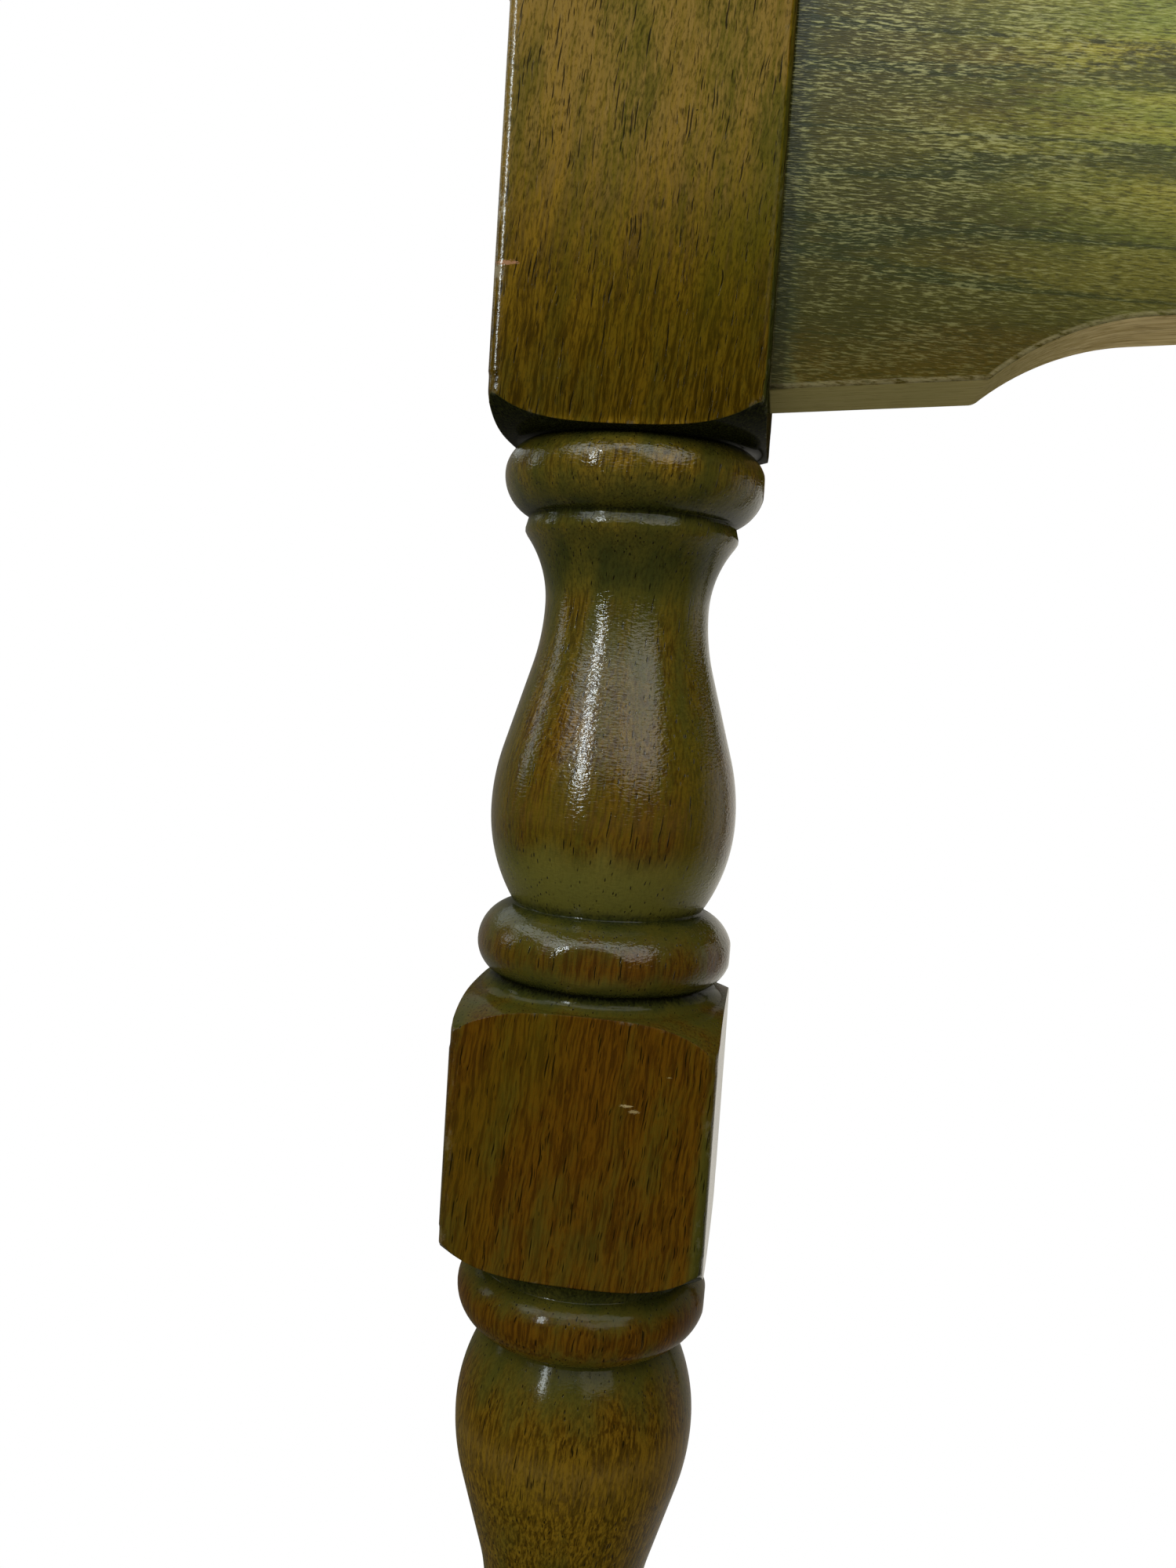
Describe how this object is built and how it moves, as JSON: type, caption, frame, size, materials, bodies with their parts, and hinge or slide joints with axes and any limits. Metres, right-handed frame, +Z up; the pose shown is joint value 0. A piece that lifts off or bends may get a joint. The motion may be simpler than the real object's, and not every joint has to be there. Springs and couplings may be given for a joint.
{
  "type": "straw seat stool",
  "caption": "Low square stool with splayed turned legs, deep aprons with a curved lower edge, and a straw seat woven in four triangles over a rail frame.",
  "frame": {"origin": "on the floor under the middle of the seat", "axes": "+Z up, front towards -Y, legs splayed along X"},
  "size_m": [0.3738, 0.343, 0.3997],
  "materials": {
    "stained_beech": "brown and green stain under a glossy rippled lacquer",
    "bare_beech": "planed bare beech",
    "straw_cord": "twisted dry straw",
    "loose_straw": "packed loose straw",
    "screw_steel": "plain steel"
  },
  "bodies": {
    "root": {"leg_front_left": "stained_beech", "leg_front_right": "stained_beech", "leg_back_left": "stained_beech", "leg_back_right": "stained_beech", "apron_front": "stained_beech", "apron_back": "stained_beech", "apron_left": "stained_beech", "apron_right": "stained_beech", "seat_corner_block_front_left": "stained_beech", "seat_corner_block_front_right": "stained_beech", "seat_corner_block_back_left": "stained_beech", "seat_corner_block_back_right": "stained_beech", "corner_brace_front_left": "bare_beech", "corner_brace_front_right": "bare_beech", "corner_brace_back_left": "bare_beech", "corner_brace_back_right": "bare_beech", "seat_rail_front": "bare_beech", "seat_rail_back": "bare_beech", "seat_rail_left": "bare_beech", "seat_rail_right": "bare_beech", "apron_dowels_front_left": "bare_beech", "apron_dowels_front_right": "bare_beech", "apron_dowels_back_left": "bare_beech", "apron_dowels_back_right": "bare_beech", "seat_dowels": "bare_beech", "brace_screws_front_left": "screw_steel", "brace_screws_front_right": "screw_steel", "brace_screws_back_left": "screw_steel", "brace_screws_back_right": "screw_steel", "straw_front": "straw_cord", "straw_back": "straw_cord", "straw_left": "straw_cord", "straw_right": "straw_cord", "stuffing_front": "loose_straw", "stuffing_back": "loose_straw", "stuffing_left": "loose_straw", "stuffing_right": "loose_straw"}
  },
  "joints": []
}
